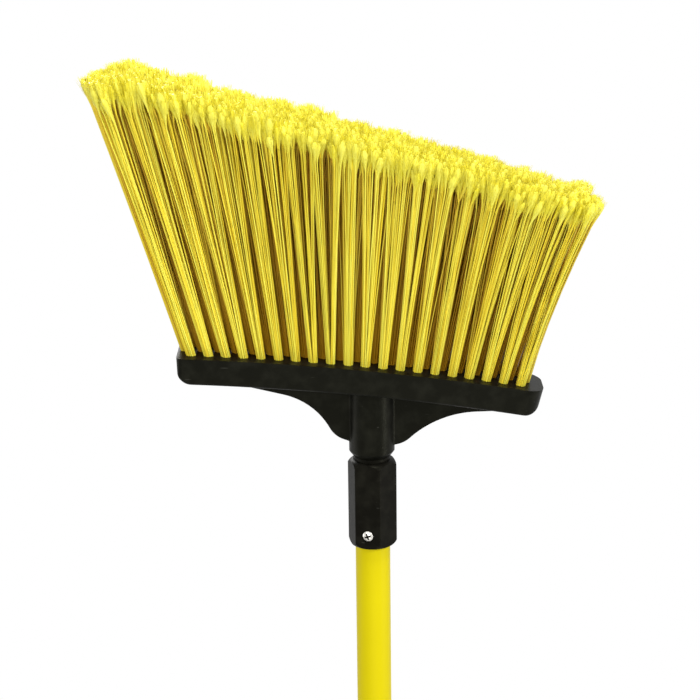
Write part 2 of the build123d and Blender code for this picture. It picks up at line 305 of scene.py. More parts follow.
# %% [markdown]
# ## The screw's cross
# The cross recess in the screw's head is narrow and deep, so its floor lies in shadow and looks
# almost black. That shadow is painted into the zinc's colour by depth: the object's coordinates are
# turned to the screw's own axis, and what lies near that axis and below the head's face is painted
# dark. A second material on the recess's faces would do as well, but this way no faces have to be
# picked.

# %% Darken the cross recess
SCREW_HEIGHT = 309.5 * MM
SCREW_TURN = math.radians(13.6)
CROSS_REACH = 2.2 * MM
CROSS_MOUTH = -14.75 * MM
CROSS_DARK = -14.3 * MM
# Colour of the painted shadow on the floor of the recess
CROSS_SHADOW_COLOUR = "1C1A17"

place = add(zinc_tree, "ShaderNodeTexCoord").outputs["Object"]
on_axis = add(
    zinc_tree,
    "ShaderNodeMapping",
    {"Vector": place, "Location": (0.0, 0.0, -SCREW_HEIGHT), "Rotation": (0.0, 0.0, SCREW_TURN)},
)
across = add(zinc_tree, "ShaderNodeVectorMath", {0: on_axis, 1: (1.0, 0.0, 1.0)}, operation="MULTIPLY")
apart = add(zinc_tree, "ShaderNodeVectorMath", {0: across}, operation="LENGTH").outputs["Value"]
within = add(zinc_tree, "ShaderNodeMath", {0: apart, 1: CROSS_REACH}, operation="LESS_THAN")
depth = add(zinc_tree, "ShaderNodeSeparateXYZ", {0: on_axis}).outputs["Y"]
sunk = add(
    zinc_tree,
    "ShaderNodeMapRange",
    {"Value": depth, "From Min": CROSS_MOUTH, "From Max": CROSS_DARK, "To Max": within},
)
# Painted shadow: the zinc's colour turns nearly black inside the recess
zinc_with_painted_shade = add(
    zinc_tree,
    "ShaderNodeMix",
    {"Factor": sunk, MIX_FROM: colour(ZINC_COLOUR), MIX_TO: colour(CROSS_SHADOW_COLOUR)},
    data_type="RGBA",
)
zinc_tree.links.new(zinc_with_painted_shade.outputs[MIXED], zinc_surface.inputs["Base Color"])
print("cross recess darkened")

# %% [markdown]
# ## PET filament
# The bristles are PET monofilament, dyed yellow in the melt. The dye is clear, so light that has
# passed through many filaments comes out of the depth of the broom brown, and darkest near the
# block. Filaments that let light through would take long to render, so that brown shade is painted
# into the colour: each filament carries three numbers from where it grows, and the colour of its
# stem follows them: its own shade, the height along it and how deep inside the broom it stands.

# %% Colour the stems
STEM_DARK = "FAE03A"
STEM_LIGHT = "FFF860"
# Colours of the painted shade on stems deep inside the broom, near the block and higher up
SHADE_BROWN_LOW = "B68818"
SHADE_BROWN_HIGH = "E2B83C"

bristle_pet, tree, surface = new_material("pet_filament")
height = add(tree, "ShaderNodeAttribute", attribute_name="height").outputs["Fac"]
own = add(tree, "ShaderNodeAttribute", attribute_name="shade").outputs["Fac"]
inner = add(tree, "ShaderNodeAttribute", attribute_name="inner").outputs["Fac"]
stem = add(
    tree,
    "ShaderNodeMix",
    {"Factor": own, MIX_FROM: colour(STEM_DARK), MIX_TO: colour(STEM_LIGHT)},
    data_type="RGBA",
)
painted_shade_brown = add(
    tree,
    "ShaderNodeMix",
    {"Factor": height, MIX_FROM: colour(SHADE_BROWN_LOW), MIX_TO: colour(SHADE_BROWN_HIGH)},
    data_type="RGBA",
)
# Painted shade: the deeper inside the broom a filament stands, the browner its stem
stem_with_painted_shade = add(
    tree,
    "ShaderNodeMix",
    {"Factor": inner, MIX_FROM: stem.outputs[MIXED], MIX_TO: painted_shade_brown.outputs[MIXED]},
    data_type="RGBA",
)
surface.inputs["Roughness"].default_value = 0.35
surface.inputs["Specular IOR Level"].default_value = 0.12
print("PET stems coloured")

# %% [markdown]
# ## Frayed PET
# The split tips scatter light at once and look paler than the stems. Their fibres are too fine to
# draw, so a noise stands for them, in streaks of 0.5 by 5 mm, which is coarser than the fibres so
# that it shows. The tip starts at height 1, where the stem ends. Deep inside the broom the tips lie
# in each other's shade, so there the pale colour starts higher and the painted shade of the stem
# reaches further up.

# %% Colour the split tips
STREAK_WIDTH = 0.5 * MM
STREAK_RUN = 5.0 * MM
STREAK_DEPTH = 0.2 * MM
FRAYED_DARK = "E2D418"
FRAYED_LIGHT = "FFFA6E"

# Values of the noise at which a streak starts to show and is full
STREAK_FROM = 0.36
STREAK_FULL = 0.64

# Heights where the pale colour starts and is full, outside on the broom and deep inside it,
# where the painted shade reaches higher
PALE_FROM = (0.95, 1.45)
PALE_FULL = (1.5, 1.85)

place = add(tree, "ShaderNodeTexCoord").outputs["Object"]
upright = add(
    tree, "ShaderNodeMapping", {"Vector": place, "Scale": (1.0, 1.0, STREAK_WIDTH / STREAK_RUN)}
)
streaks = add(
    tree, "ShaderNodeTexNoise", {"Vector": upright, "Scale": 1 / STREAK_WIDTH, "Detail": 2.0}
)
streaked = add(
    tree, "ShaderNodeMapRange", {"Value": streaks, "From Min": STREAK_FROM, "From Max": STREAK_FULL}
)
both = add(tree, "ShaderNodeMath", {0: streaked, 1: own}, operation="ADD")
pale_share = add(tree, "ShaderNodeMath", {0: both, 1: 0.5}, operation="MULTIPLY")
frayed = add(
    tree,
    "ShaderNodeMix",
    {"Factor": pale_share, MIX_FROM: colour(FRAYED_DARK), MIX_TO: colour(FRAYED_LIGHT)},
    data_type="RGBA",
)
pale_from, pale_full = [
    add(tree, "ShaderNodeMapRange", {"Value": inner, "To Min": outside, "To Max": inside})
    for outside, inside in (PALE_FROM, PALE_FULL)
]
tip_share = add(
    tree, "ShaderNodeMapRange", {"Value": height, "From Min": pale_from, "From Max": pale_full}
)
shade = add(
    tree,
    "ShaderNodeMix",
    {"Factor": tip_share, MIX_FROM: stem_with_painted_shade.outputs[MIXED], MIX_TO: frayed.outputs[MIXED]},
    data_type="RGBA",
)
relief = add(
    tree, "ShaderNodeBump", {"Height": streaks, "Distance": STREAK_DEPTH, "Strength": tip_share}
)
tree.links.new(shade.outputs[MIXED], surface.inputs["Base Color"])
tree.links.new(relief.outputs[0], surface.inputs["Normal"])
print("PET filament ready")

# %% [markdown]
# ## Where the tufts stand
# The block is drilled in three rows: 20 tufts in front, 21 in the middle, staggered, and 20 behind.
# The holes lean outwards from the middle of the bar, so the bristles fan out, and the last tufts at
# the lower end bend outwards as they rise. The holes' sizes are those of the CAD model. Each row
# starts as a mesh of loose points, one at each tuft's foot, which carry what the tuft needs to know.

# %% Lay out the tufts
BAR_PLACE = Vector((-6.0, 0.0, 421.8)) * MM
BAR_TILT = Matrix.Rotation(math.radians(6.4), 3, "Y")
CROWN_RADIUS = 1700.0 * MM
TUFT_SHIFT = -3.0 * MM
ROW_PITCH = 10.0 * MM

# In degrees: lean of the middle hole, growth of that lean along the bar, and lean from row to row
FAN_LEAN = 2.0
FAN_RATE = 0.166 / MM
ROW_LEAN = 5.0

# Each row's tuft count, tuft pitch and place in row pitches
ROWS = {"front": (20, 10.8 * MM, -1), "middle": (21, 10.65 * MM, 0), "rear": (20, 10.8 * MM, 1)}

# How far the last tuft's tips are bent, and the share of the row where the bending starts
BEND = 7.0 * MM
BEND_FROM = 0.6


def plant_row(row):
    """A mesh with a loose point at each tuft's foot, which knows direction, number, end and bend."""
    count, pitch, place = ROWS[row]
    feet, directions = [], []
    ends = [-1.0] + [0.0] * (count - 2) + [1.0]
    shares = [max(0.0, (index / (count - 1) - BEND_FROM) / (1 - BEND_FROM)) for index in range(count)]
    for index in range(count):
        along = (index - (count - 1) / 2) * pitch
        bar_x = TUFT_SHIFT + along
        drop = CROWN_RADIUS - math.sqrt(CROWN_RADIUS**2 - bar_x**2)
        feet.append(BAR_PLACE + BAR_TILT @ Vector((bar_x, place * ROW_PITCH, -drop)))
        lean = math.radians(FAN_LEAN + FAN_RATE * along)
        across = math.radians(place * ROW_LEAN)
        directions.append(Vector((math.tan(lean), math.tan(across), 1.0)).normalized())
    mesh = bpy.data.meshes.new(f"bristles_{row}")
    mesh.from_pydata(feet, [], [])
    for name, kind, field, values in (
        ("up", "FLOAT_VECTOR", "vector", [part for direction in directions for part in direction]),
        ("tuft", "INT", "value", range(count)),
        ("end", "FLOAT", "value", ends),
        ("bend", "FLOAT", "value", [BEND * share**2 for share in shares]),
    ):
        mesh.attributes.new(name, kind, "POINT")
        mesh.attributes[name].data.foreach_set(field, values)
    piece = bpy.data.objects.new(f"filaments_{row}_row", mesh)
    scene.collection.objects.link(piece)
    return piece


planted = {row: plant_row(row) for row in ROWS}
print("tufts:", {row: len(piece.data.vertices) for row, piece in planted.items()})

# %% [markdown]
# ## How a tuft grows
# A machine folds a bunch of filaments, staples the fold into its hole and trims the free ends. So
# each tuft starts as a round bunch the width of its hole, spreads as it rises, and stops at the
# trimming planes. Blender's hair could grow it too, but a network of geometry nodes gives plain
# meshes, and every filament follows its own hole. The three rows share this growing rule, whose
# inputs have names. Real filaments are about half a millimetre thick and there are more of them.
# Here 48 of 0.85 mm fill a tuft, which keeps the number of faces down.

# %% Start the growing rule
FLOATS = {
    "Width": 0.85 * MM,  # of one filament
    "Along": 0.042,  # spread of a tuft along the bar, as a slope
    "Across": 0.06,  # spread of a tuft across the bar, as a slope
    "Stick": 0.6,  # how far filaments are drawn to the middle of their clump
    "Stray": 0.024,  # lean of a whole clump, as a slope
    "Flag Length": 22.0 * MM,  # longest split part of a filament
    # Outside and Depth set how deep inside the broom a filament counts, which sets its painted shade
    "Outside": 0.0,  # side of the broom that the row faces: -1 front, 1 rear
    "Depth": 0.0,  # how much deeper inside the broom the row stands
}
COUNTS = {"Filaments": 48, "Flags": 20, "Seed": 3}

rule = bpy.data.node_groups.new("grow_tufts", "GeometryNodeTree")
rule.interface.new_socket("Tufts", in_out="INPUT", socket_type="NodeSocketGeometry")
for name in FLOATS:
    rule.interface.new_socket(name, in_out="INPUT", socket_type="NodeSocketFloat")
for name in COUNTS:
    rule.interface.new_socket(name, in_out="INPUT", socket_type="NodeSocketInt")
rule.interface.new_socket("Material", in_out="INPUT", socket_type="NodeSocketMaterial")
rule.interface.new_socket("Bristles", in_out="OUTPUT", socket_type="NodeSocketGeometry")
given = add(rule, "NodeGroupInput").outputs
print("growing rule started, with", ", ".join([*FLOATS, *COUNTS]))

# %% [markdown]
# ## One foot for every filament
# The rule copies each tuft's foot once for every filament and packs the copies in a disc as a
# sunflower packs its seeds: each copy is turned by the golden angle from the one before and stands
# off the middle by the square root of its rank, which spreads them evenly.

# %% Pack the filaments of a tuft
GOLDEN_ANGLE = math.pi * (3 - math.sqrt(5))

points = add(rule, "GeometryNodeMeshToPoints", {"Mesh": given["Tufts"]})
copies = add(
    rule,
    "GeometryNodeDuplicateElements",
    {"Geometry": points, "Amount": given["Filaments"]},
    domain="POINT",
)
rank = copies.outputs["Duplicate Index"]
up = add(rule, "GeometryNodeInputNamedAttribute", {"Name": "up"}, data_type="FLOAT_VECTOR")
tuft = add(rule, "GeometryNodeInputNamedAttribute", {"Name": "tuft"}, data_type="INT")
side = add(rule, "ShaderNodeVectorMath", {0: (0.0, 1.0, 0.0), 1: up}, operation="CROSS_PRODUCT")
back = add(rule, "ShaderNodeVectorMath", {0: up, 1: side}, operation="CROSS_PRODUCT")

counted = add(rule, "ShaderNodeMath", {0: rank, 1: 0.5}, operation="ADD")
share = add(rule, "ShaderNodeMath", {0: counted, 1: given["Filaments"]}, operation="DIVIDE")
radius = add(rule, "ShaderNodeMath", {0: share}, operation="SQRT")
turn = add(rule, "ShaderNodeMath", {0: rank, 1: GOLDEN_ANGLE, 2: tuft}, operation="MULTIPLY_ADD")
cosine = add(rule, "ShaderNodeMath", {0: turn}, operation="COSINE")
sine = add(rule, "ShaderNodeMath", {0: turn}, operation="SINE")
disc_x = add(rule, "ShaderNodeMath", {0: radius, 1: cosine}, operation="MULTIPLY")
disc_y = add(rule, "ShaderNodeMath", {0: radius, 1: sine}, operation="MULTIPLY")
print(COUNTS["Filaments"], "filaments packed in each tuft")

# %% [markdown]
# ## Clumps
# Filaments of a real tuft don't spread evenly: they stick together in clumps that lean their own
# way. The four quarters of a tuft are its clumps, numbered from the tuft's own number. Each shares
# one random lean, and every filament adds a smaller one of its own.

# %% Gather the filaments in clumps
OWN_LEAN = 0.008

half_x = add(rule, "ShaderNodeMath", {0: disc_x, 1: 0.0}, operation="GREATER_THAN")
half_y = add(rule, "ShaderNodeMath", {0: disc_y, 1: 0.0}, operation="GREATER_THAN")
clump = tuft
for half in (half_y, half_x):
    clump = add(rule, "ShaderNodeMath", {0: clump, 1: 2.0, 2: half}, operation="MULTIPLY_ADD")
clump_way = add(
    rule,
    "FunctionNodeRandomValue",
    {"Min": (-1.0,) * 3, "Max": (1.0,) * 3, "ID": clump, "Seed": given["Seed"]},
    data_type="FLOAT_VECTOR",
)
clump_lean = add(
    rule, "ShaderNodeVectorMath", {0: clump_way, "Scale": given["Stray"]}, operation="SCALE"
)
own_lean = add(
    rule,
    "FunctionNodeRandomValue",
    {"Min": (-OWN_LEAN,) * 3, "Max": (OWN_LEAN,) * 3, "Seed": given["Seed"]},
    data_type="FLOAT_VECTOR",
)
print("clumps gathered, four to a tuft")

# %% [markdown]
# ## Directions
# A filament points up its tuft and out to its own side of the disc, drawn in towards the middle of
# its clump, plus the two leans. The outer filaments of a row's end tufts are held in, because
# nothing beside them pushes them out. How far a filament stands off its clump's middle is its
# flare, and the split tip opens that way later. The foot starts a little down in its hole.

# %% Aim each filament
CLUMP_REACH = 0.42
END_ALONG = -0.002
HOLE_RADIUS = 2.7 * MM
HOLE_SINK = 2.0 * MM

end = add(rule, "GeometryNodeInputNamedAttribute", {"Name": "end"}, data_type="FLOAT")
past_end = add(rule, "ShaderNodeMath", {0: disc_x, 1: end}, operation="MULTIPLY", use_clamp=True)
held_in = add(
    rule, "ShaderNodeMapRange", {"Value": past_end, "To Min": given["Along"], "To Max": END_ALONG}
)
inside_end = add(rule, "ShaderNodeMath", {0: 1.0, 1: past_end}, operation="SUBTRACT")
direction = up
flare = (0.0, 0.0, 0.0)
for disc, spread, axis in ((disc_x, held_in, side), (disc_y, given["Across"], back)):
    way = add(rule, "ShaderNodeMath", {0: disc}, operation="SIGN")
    middle = add(rule, "ShaderNodeMath", {0: way, 1: CLUMP_REACH}, operation="MULTIPLY")
    off_middle = add(rule, "ShaderNodeMath", {0: disc, 1: middle}, operation="SUBTRACT")
    kept = add(rule, "ShaderNodeMath", {0: off_middle, 1: inside_end}, operation="MULTIPLY")
    part = add(rule, "ShaderNodeVectorMath", {0: axis, "Scale": kept}, operation="SCALE")
    flare = add(rule, "ShaderNodeVectorMath", {0: flare, 1: part}, operation="ADD")
    drawn = add(
        rule, "ShaderNodeMix", {"Factor": given["Stick"], "A": disc, "B": middle}, data_type="FLOAT"
    )
    lean = add(rule, "ShaderNodeMath", {0: drawn, 1: spread}, operation="MULTIPLY")
    step = add(rule, "ShaderNodeVectorMath", {0: axis, "Scale": lean}, operation="SCALE")
    direction = add(rule, "ShaderNodeVectorMath", {0: direction, 1: step}, operation="ADD")
for part in (clump_lean, own_lean):
    direction = add(rule, "ShaderNodeVectorMath", {0: direction, 1: part}, operation="ADD")

foot_x = add(rule, "ShaderNodeMath", {0: disc_x, 1: HOLE_RADIUS}, operation="MULTIPLY")
foot_y = add(rule, "ShaderNodeMath", {0: disc_y, 1: HOLE_RADIUS}, operation="MULTIPLY")
foot = add(rule, "GeometryNodeInputPosition")
for axis, reach in ((side, foot_x), (back, foot_y), (up, -HOLE_SINK)):
    step = add(rule, "ShaderNodeVectorMath", {0: axis, "Scale": reach}, operation="SCALE")
    foot = add(rule, "ShaderNodeVectorMath", {0: foot, 1: step}, operation="ADD")
print("filaments aimed")

# %% [markdown]
# ## Trim
# Blades cut the bristles on three planes: the long slope, the raised heel and the rounded toe. Each
# plane passes a point beside and above the bar and falls to the right by an angle. They lie a
# little beyond the CAD model's, because the fluff stands over the strands' ends. A filament's
# length is the least of its distances to them. The blades tear as much as they cut, so each
# filament and each clump ends a little high or low, and a clump's top is a dome.

# %% Trim the filaments
# Each plane's point beside and above the bar in millimetres, and its fall in degrees
TRIMS = ((0.0, 147.5, 15.5), (-165.5, 179.0, -17.0), (154.0, 98.0, 43.0))

# A length in metres that no filament reaches, to start from
LONGEST = 1.0
TRIM_SCATTER = 1.2 * MM
CLUMP_SCATTER = 3.0 * MM
DOME = 20.0 * MM

# Sockets of a Random Value node for plain numbers: its bounds, and the output that holds the result
LEAST = 2
MOST = 3
DRAWN = 1

length = LONGEST
for beside, above, fall in TRIMS:
    slope = math.radians(fall)
    square = (math.sin(slope), 0.0, math.cos(slope))
    on_plane = BAR_PLACE + Vector((beside, 0.0, above)) * MM
    to_plane = add(rule, "ShaderNodeVectorMath", {0: tuple(on_plane), 1: foot}, operation="SUBTRACT")
    gap = add(rule, "ShaderNodeVectorMath", {0: to_plane, 1: square}, operation="DOT_PRODUCT")
    pace = add(rule, "ShaderNodeVectorMath", {0: direction, 1: square}, operation="DOT_PRODUCT")
    run = add(
        rule,
        "ShaderNodeMath",
        {0: gap.outputs["Value"], 1: pace.outputs["Value"]},
        operation="DIVIDE",
    )
    length = add(rule, "ShaderNodeMath", {0: length, 1: run}, operation="MINIMUM")
scatter = add(
    rule,
    "FunctionNodeRandomValue",
    {LEAST: -TRIM_SCATTER, MOST: 0.0, "Seed": given["Seed"]},
    data_type="FLOAT",
)
clump_scatter = add(
    rule,
    "FunctionNodeRandomValue",
    {LEAST: -CLUMP_SCATTER, MOST: CLUMP_SCATTER, "ID": clump, "Seed": given["Seed"]},
    data_type="FLOAT",
)
for change in (scatter, clump_scatter):
    length = add(rule, "ShaderNodeMath", {0: length, 1: change.outputs[DRAWN]}, operation="ADD")
off_clump = add(rule, "ShaderNodeVectorMath", {0: flare, 1: flare}, operation="DOT_PRODUCT")
length = add(
    rule,
    "ShaderNodeMath",
    {0: off_clump.outputs["Value"], 1: -DOME, 2: length},
    operation="MULTIPLY_ADD",
)
print("filaments trimmed by", len(TRIMS), "planes")

# %% [markdown]
# ## Each filament's own values
# No two filaments are alike: each has a shade and a bow of its own, and the filaments of a clump
# are frayed over the same length. How deep a filament stands inside the broom follows from its
# place in the tuft and from its row. A bent filament first leans back towards the middle of the
# broom and then curves outwards, so the bend doesn't make the broom wider.

# %% Choose each filament's own values
FRAY_LEAST = 0.6
BOW = 2.5 * MM

# How far a bent filament leans back first, as a multiple of its bend
BEND_BACK = 1.6

# Places across a tuft, as shares of its radius, where filaments count as outside and as inside
OUTSIDE_AT = 0.3
INSIDE_AT = -0.6

fray_share = add(
    rule,
    "FunctionNodeRandomValue",
    {LEAST: FRAY_LEAST, MOST: 1.0, "ID": clump, "Seed": given["Seed"]},
    data_type="FLOAT",
)
fray = add(
    rule,
    "ShaderNodeMath",
    {0: given["Flag Length"], 1: fray_share.outputs[DRAWN]},
    operation="MULTIPLY",
)
stem_length = add(rule, "ShaderNodeMath", {0: length, 1: fray}, operation="SUBTRACT")
own_shade = add(rule, "FunctionNodeRandomValue", {"Seed": given["Seed"]}, data_type="FLOAT")
# How deep inside the broom a filament stands; the material paints shade by it
beside = add(rule, "ShaderNodeMath", {0: past_end, 1: given["Depth"]}, operation="SUBTRACT")
outward = add(
    rule,
    "ShaderNodeMath",
    {0: disc_y, 1: given["Outside"], 2: beside},
    operation="MULTIPLY_ADD",
)
inner = add(
    rule, "ShaderNodeMapRange", {"Value": outward, "From Min": OUTSIDE_AT, "From Max": INSIDE_AT}
)
bow = add(
    rule,
    "FunctionNodeRandomValue",
    {"Min": (-BOW, -BOW, 0.0), "Max": (BOW, BOW, 0.0), "Seed": given["Seed"]},
    data_type="FLOAT_VECTOR",
)
bend = add(rule, "GeometryNodeInputNamedAttribute", {"Name": "bend"}, data_type="FLOAT")
bent = add(rule, "ShaderNodeCombineXYZ", {"X": bend})
bow = add(rule, "ShaderNodeVectorMath", {0: bow, 1: bent}, operation="ADD")
stem_run = add(rule, "ShaderNodeVectorMath", {0: direction, "Scale": stem_length}, operation="SCALE")
lean_back = add(rule, "ShaderNodeVectorMath", {0: bent, "Scale": BEND_BACK}, operation="SCALE")
stem_run = add(rule, "ShaderNodeVectorMath", {0: stem_run, 1: lean_back}, operation="SUBTRACT")
print("own shade, bow, run and frayed length chosen")

# %% [markdown]
# ## What each filament keeps
# A field in geometry nodes is worked out anew wherever it is used, so what has to stay with a
# filament is stored on its point: the run of its stem, its bow, its shade, how deep inside the
# broom it stands, the length that is frayed, its flare and its foot. Then the point moves from the
# middle of the tuft to that foot.

# %% Store each filament's values
known = copies
for name, kind, value in (
    ("run", "FLOAT_VECTOR", stem_run),
    ("bow", "FLOAT_VECTOR", bow),
    ("shade", "FLOAT", own_shade.outputs[DRAWN]),
    ("inner", "FLOAT", inner),
    ("fray", "FLOAT", fray),
    ("flare", "FLOAT_VECTOR", flare),
    ("foot", "FLOAT_VECTOR", foot),
):
    known = add(
        rule,
        "GeometryNodeStoreNamedAttribute",
        {"Geometry": known, "Name": name, "Value": value},
        data_type=kind,
        domain="POINT",
    )
run_of, bow_of, foot_of, flare_of = [
    add(rule, "GeometryNodeInputNamedAttribute", {"Name": name}, data_type="FLOAT_VECTOR")
    for name in ("run", "bow", "foot", "flare")
]
shade_of, fray_of = [
    add(rule, "GeometryNodeInputNamedAttribute", {"Name": name}, data_type="FLOAT")
    for name in ("shade", "fray")
]
rooted = add(rule, "GeometryNodeSetPosition", {"Geometry": known, "Position": foot_of})
print("values stored on each filament's foot")

# %% [markdown]
# ## Stems
# Each filament is drawn as one line that bows slightly, more towards its end, then gets a
# three-sided section, which is round enough for so thin a thing. The line is one shared shape set
# on every point, turned to the filament's direction and stretched to its length.

# %% Draw the stems
STEM_STEPS = 6
STEM_SIDES = 3

line = add(rule, "GeometryNodeCurvePrimitiveLine", {"End": (0.0, 0.0, 1.0)})
stem_line = add(rule, "GeometryNodeResampleCurve", {"Curve": line, "Count": STEM_STEPS})
run_size = add(rule, "ShaderNodeVectorMath", {0: run_of}, operation="LENGTH")
stretch = add(rule, "ShaderNodeCombineXYZ", {"X": 1.0, "Y": 1.0, "Z": run_size.outputs["Value"]})
facing = add(rule, "FunctionNodeAlignRotationToVector", {"Vector": run_of}, axis="Z")
stems = add(
    rule,
    "GeometryNodeInstanceOnPoints",
    {"Points": rooted, "Instance": stem_line, "Rotation": facing, "Scale": stretch},
)
stems = add(rule, "GeometryNodeRealizeInstances", {"Geometry": stems})
rise = add(rule, "GeometryNodeSplineParameter").outputs["Factor"]
rise_squared = add(rule, "ShaderNodeMath", {0: rise, 1: rise}, operation="MULTIPLY")
bowed = add(rule, "ShaderNodeVectorMath", {0: bow_of, "Scale": rise_squared}, operation="SCALE")
stems = add(rule, "GeometryNodeSetPosition", {"Geometry": stems, "Offset": bowed})
stems = add(
    rule,
    "GeometryNodeStoreNamedAttribute",
    {"Geometry": stems, "Name": "height", "Value": rise},
    data_type="FLOAT",
    domain="POINT",
)
stem_radius = add(rule, "ShaderNodeMath", {0: given["Width"], 1: 0.5}, operation="MULTIPLY")
stem_section = add(
    rule, "GeometryNodeCurvePrimitiveCircle", {"Resolution": STEM_SIDES, "Radius": stem_radius}
)
stems = add(
    rule,
    "GeometryNodeCurveToMesh",
    {"Curve": stems, "Profile Curve": stem_section, "Fill Caps": True},
)
print("stems drawn in", STEM_STEPS - 1, "steps each")

# %% [markdown]
# ## Split tips
# The trade calls them flags: after trimming, whirling blades fray each filament's end into fine
# fibres, which is what catches dust. Hundreds of fibres to a filament would be millions of faces,
# so each frayed end is a slim brush head with flat slivers round it. It starts where the stem ends,
# goes on in the stem's last direction and flares away from the middle of its clump. A bow that
# grows with the square of the height ends with twice its own slope.

# %% Find where the tips start and point
BOW_END_SLOPE = 2.0
HEAD_FLARE = 0.33

end_bow = add(rule, "ShaderNodeVectorMath", {0: bow_of, "Scale": BOW_END_SLOPE}, operation="SCALE")
onward = add(rule, "ShaderNodeVectorMath", {0: run_of, 1: end_bow}, operation="ADD")
straight_on = add(rule, "ShaderNodeVectorMath", {0: onward}, operation="NORMALIZE")
flared = add(rule, "ShaderNodeVectorMath", {0: flare_of, "Scale": HEAD_FLARE}, operation="SCALE")
head_way = add(rule, "ShaderNodeVectorMath", {0: straight_on, 1: flared}, operation="ADD")
stem_end = add(rule, "ShaderNodeVectorMath", {0: run_of, 1: bow_of}, operation="ADD")
ends = add(rule, "GeometryNodeSetPosition", {"Geometry": rooted, "Offset": stem_end})
print("tips start at the stems' ends")

# %% [markdown]
# ## Brush heads
# A head opens from the stem's width to its full size, which differs from filament to filament, and
# closes bluntly over its last stretch. It is a line again, with a six-sided section whose scale
# follows the height.

# %% Shape the brush heads
HEAD_STEPS = 7
HEAD_SIDES = 6
HEAD_RADIUS = 1.9 * MM

# Share of the frayed length that the head takes
HEAD_PART = 0.91

# Sizes of the slimmest and the fullest head, as shares of the radius
HEAD_LEAST = 0.7
HEAD_MOST = 1.3

# Share of the head's height where it starts to close, and share of its width left at the end
HEAD_ROUND = 0.9
HEAD_CLOSED = 0.4

head_height = add(rule, "ShaderNodeMath", {0: rise, 1: 1.0}, operation="ADD")
head_facing = add(rule, "FunctionNodeAlignRotationToVector", {"Vector": head_way}, axis="Z")
head_length = add(rule, "ShaderNodeMath", {0: fray_of, 1: HEAD_PART}, operation="MULTIPLY")
head_stretch = add(rule, "ShaderNodeCombineXYZ", {"X": 1.0, "Y": 1.0, "Z": head_length})
head_line = add(rule, "GeometryNodeResampleCurve", {"Curve": line, "Count": HEAD_STEPS})
heads = add(
    rule,
    "GeometryNodeInstanceOnPoints",
    {"Points": ends, "Instance": head_line, "Rotation": head_facing, "Scale": head_stretch},
)
heads = add(rule, "GeometryNodeRealizeInstances", {"Geometry": heads})
stem_part = add(rule, "ShaderNodeMath", {0: stem_radius, 1: HEAD_RADIUS}, operation="DIVIDE")
full_size = add(
    rule, "ShaderNodeMapRange", {"Value": shade_of, "To Min": HEAD_LEAST, "To Max": HEAD_MOST}
)
opened = add(
    rule,
    "ShaderNodeMapRange",
    {"Value": rise, "From Max": HEAD_ROUND, "To Min": stem_part, "To Max": full_size},
    interpolation_type="SMOOTHSTEP",
)
closed = add(
    rule,
    "ShaderNodeMapRange",
    {"Value": rise, "From Min": HEAD_ROUND, "To Min": 1.0, "To Max": HEAD_CLOSED},
    interpolation_type="SMOOTHSTEP",
)
fullness = add(rule, "ShaderNodeMath", {0: opened, 1: closed}, operation="MULTIPLY")
head_section = add(
    rule, "GeometryNodeCurvePrimitiveCircle", {"Resolution": HEAD_SIDES, "Radius": HEAD_RADIUS}
)
print("brush heads shaped with", HEAD_SIDES, "sides")

# %% [markdown]
# ## Slivers
# Fraying splits a filament lengthwise, so the head has slivers round it, which break up its smooth
# outline. They are lines again, set on copies of the stem's end. They start part of the way up the
# head, off its middle, and each splays its own way.

# %% Place the slivers
FLAG_STEPS = 3
FLAG_RING = 1.9 * MM

# Shares of the frayed length where the slivers start and that they run
FLAG_FROM = 0.46
FLAG_PART = 0.5

# Outward slope of a sliver, and its rise or fall as a share of the way outwards
FLAG_SPLAY = 0.16
FLAG_LIFT = 0.2

flags = add(
    rule,
    "GeometryNodeDuplicateElements",
    {"Geometry": ends, "Amount": given["Flags"]},
    domain="POINT",
)
splay = add(
    rule,
    "FunctionNodeRandomValue",
    {"Min": (-1.0, -1.0, -FLAG_LIFT), "Max": (1.0, 1.0, FLAG_LIFT), "Seed": given["Seed"]},
    data_type="FLOAT_VECTOR",
)
flags = add(
    rule,
    "GeometryNodeStoreNamedAttribute",
    {"Geometry": flags, "Name": "splay", "Value": splay},
    data_type="FLOAT_VECTOR",
    domain="POINT",
)
splay_of = add(rule, "GeometryNodeInputNamedAttribute", {"Name": "splay"}, data_type="FLOAT_VECTOR")
flag_start = add(rule, "ShaderNodeMath", {0: fray_of, 1: FLAG_FROM}, operation="MULTIPLY")
up_head = add(rule, "ShaderNodeVectorMath", {0: head_way, "Scale": flag_start}, operation="SCALE")
off_line = add(rule, "ShaderNodeVectorMath", {0: splay_of, "Scale": FLAG_RING}, operation="SCALE")
for step in (up_head, off_line):
    flags = add(rule, "GeometryNodeSetPosition", {"Geometry": flags, "Offset": step})
splayed = add(rule, "ShaderNodeVectorMath", {0: splay_of, "Scale": FLAG_SPLAY}, operation="SCALE")
flag_way = add(rule, "ShaderNodeVectorMath", {0: head_way, 1: splayed}, operation="ADD")
flag_facing = add(rule, "FunctionNodeAlignRotationToVector", {"Vector": flag_way}, axis="Z")
flag_length = add(rule, "ShaderNodeMath", {0: fray_of, 1: FLAG_PART}, operation="MULTIPLY")
flag_stretch = add(rule, "ShaderNodeCombineXYZ", {"X": 1.0, "Y": 1.0, "Z": flag_length})
flag_line = add(rule, "GeometryNodeResampleCurve", {"Curve": line, "Count": FLAG_STEPS})
flags = add(
    rule,
    "GeometryNodeInstanceOnPoints",
    {"Points": flags, "Instance": flag_line, "Rotation": flag_facing, "Scale": flag_stretch},
)
flags = add(rule, "GeometryNodeRealizeInstances", {"Geometry": flags})
print(COUNTS["Flags"], "slivers placed round each head")

# %% [markdown]
# ## Ribbons
# Each sliver curls a little outwards and gets a flat section, so it becomes a ribbon that narrows
# to its end. A ribbon has a quarter of the faces of a closed three-sided fibre, so there can be
# more of them.

# %% Shape the slivers
FLAG_CURL = 0.6 * MM

# Width of a sliver as a share of the stem's, and the share of that which is left at its end
FLAG_SHARE = 0.42
FLAG_POINT = 0.6

